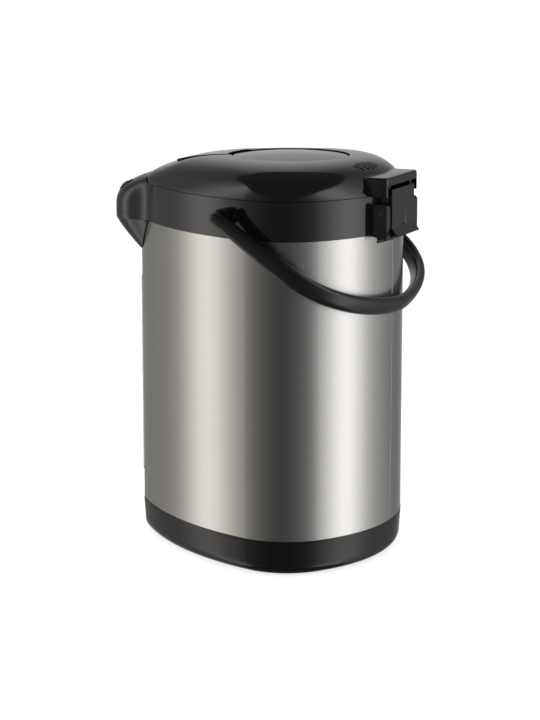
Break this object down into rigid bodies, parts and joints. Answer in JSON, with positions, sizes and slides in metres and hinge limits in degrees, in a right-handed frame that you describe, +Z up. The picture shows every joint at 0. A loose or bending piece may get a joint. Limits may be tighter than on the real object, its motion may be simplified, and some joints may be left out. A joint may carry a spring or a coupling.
{
  "type": "electric thermo pot",
  "caption": "Insulated electric water pot with a steel jacket, snout spout, domed hinged lid with a push pump, and a swinging carrying bail.",
  "frame": {"origin": "the centre of the foot ring, on the surface the pot stands on", "axes": "+Z up, spout towards -Y, lid hinge towards +Y, symmetric about X = 0 apart from the power inlet"},
  "size_m": [0.2574, 0.2756, 0.3475],
  "materials": {
    "base_plastic": "glossy moulded black",
    "underside_plastic": "matte moulded black",
    "rubber": "matte rubber",
    "screw_steel": "zinc-plated",
    "black_steel": "blackened",
    "brushed_steel": "horizontally brushed",
    "collar_plastic": "glossy moulded black",
    "lid_plastic": "glossy moulded black",
    "hinge_plastic": "satin moulded black",
    "bail_plastic": "satin moulded black",
    "pot_steel": "polished inside",
    "silicone": "translucent white silicone",
    "insulation": "glass wool",
    "heater_metal": "cast",
    "ceramic": "ceramic white",
    "pump_plastic": "natural moulded",
    "motor_metal": "plated can",
    "magnet": "sintered",
    "hose": "translucent silicone",
    "clear_glass": "clear",
    "window_plastic": "clear moulded",
    "nozzle_plastic": "satin black",
    "panel_plastic": "dark grey",
    "key_plastic": "light grey",
    "lamp_plastic": "tinted clear",
    "board": "green laminate",
    "brass": "plain",
    "lid_inside": "grey moulded",
    "bellows_rubber": "matte",
    "spring_steel": "spring wire"
  },
  "bodies": {
    "pot": {"base_shell": "base_plastic", "bottom_plate": "underside_plastic", "foot_ring": "rubber", "base_screws": "screw_steel", "steel_jacket": "brushed_steel", "collar": "collar_plastic", "nose_chin": "collar_plastic", "hinge_bracket": "hinge_plastic", "hinge_pin": "black_steel", "pin_clip": "black_steel", "handle_pivots": "bail_plastic", "inner_pot": "pot_steel", "neck_seal": "silicone", "insulation_sleeve": "insulation", "heater": "heater_metal", "thermostat": "ceramic", "pump_housing": "pump_plastic", "pump_motor": "motor_metal", "outlet_hose": "hose", "riser_tube": "clear_glass", "spout_elbow": "hose", "spout_nozzle": "nozzle_plastic", "level_window": "window_plastic", "control_panel": "panel_plastic", "control_board": "board", "panel_lamps": "lamp_plastic", "power_inlet": "underside_plastic", "inlet_pins": "brass"},
    "lid": {"lid_shell": "lid_plastic", "lid_underside": "lid_inside", "lid_seal": "silicone", "lid_plate": "pot_steel", "lid_plate_screws": "screw_steel", "steam_duct": "lid_inside", "lever_pin": "screw_steel", "bellows": "bellows_rubber", "pump_spring": "spring_steel"},
    "lever": {"lid_lever": "lid_plastic"},
    "latch": {"lid_latch": "nozzle_plastic"},
    "pump_top": {"push_plate": "lid_plastic"},
    "lid_release": {"release_lever": "hinge_plastic"},
    "bail": {"bail_handle": "bail_plastic"},
    "dispense_key": {"button_dispense": "key_plastic"},
    "boil_key": {"button_boil": "key_plastic"},
    "lock_key": {"button_lock": "key_plastic"},
    "motor_rotor": {"motor_magnet": "magnet"},
    "pump_rotor": {"impeller": "pump_plastic"}
  },
  "joints": [
    {"name": "lid_hinge", "type": "hinge", "parent": "pot", "child": "lid", "pos_m": [0, 0.1182, 0.3041], "axis": [-1, 0, 0], "range_deg": [0, 75]},
    {"name": "pump_press", "type": "slide", "parent": "lid", "child": "pump_top", "axis": [0, 0, -1], "range_m": [0, 0.02], "stiffness_N_per_m": 350, "springref_m": -0.012, "deforming": ["bellows", "pump_spring"]},
    {"name": "lever_lift", "type": "hinge", "parent": "lid", "child": "lever", "pos_m": [0, -0.036, 0.3392], "axis": [-1, 0, 0], "range_deg": [0, 27], "stiffness_Nm_per_rad": 0.02, "springref_deg": -17.19},
    {"name": "latch_slide", "type": "slide", "parent": "lid", "child": "latch", "axis": [0, 1, 0], "range_m": [0, 0.004]},
    {"name": "release_press", "type": "hinge", "parent": "lid", "child": "lid_release", "pos_m": [0, 0.1182, 0.3041], "axis": [-1, 0, 0], "range_deg": [0, 6], "stiffness_Nm_per_rad": 0.1, "springref_deg": -17.19},
    {"name": "bail_swing", "type": "hinge", "parent": "pot", "child": "bail", "pos_m": [0, 0.0051, 0.3039], "axis": [1, 0, 0], "range_deg": [0, 190]},
    {"name": "dispense_press", "type": "slide", "parent": "pot", "child": "dispense_key", "axis": [0, 0.5878, -0.809], "range_m": [0, 0.0012], "stiffness_N_per_m": 300, "springref_m": -0.001},
    {"name": "boil_press", "type": "slide", "parent": "pot", "child": "boil_key", "axis": [0, 0.5878, -0.809], "range_m": [0, 0.0012], "stiffness_N_per_m": 300, "springref_m": -0.001},
    {"name": "lock_press", "type": "slide", "parent": "pot", "child": "lock_key", "axis": [0, 0.5878, -0.809], "range_m": [0, 0.0012], "stiffness_N_per_m": 300, "springref_m": -0.001},
    {"name": "motor_spin", "type": "hinge", "parent": "pot", "child": "motor_rotor", "pos_m": [0, -0.044, 0.03], "axis": [0, 0, 1], "continuous": true},
    {"name": "impeller_spin", "type": "hinge", "parent": "pot", "child": "pump_rotor", "pos_m": [0, -0.044, 0.03], "axis": [0, 0, 1], "continuous": true}
  ],
  "couplings": [
    {"joint": "latch_slide", "follows": "lever_lift", "m_per_rad": 0.0084},
    {"joint": "impeller_spin", "follows": "motor_spin", "ratio": 1}
  ]
}
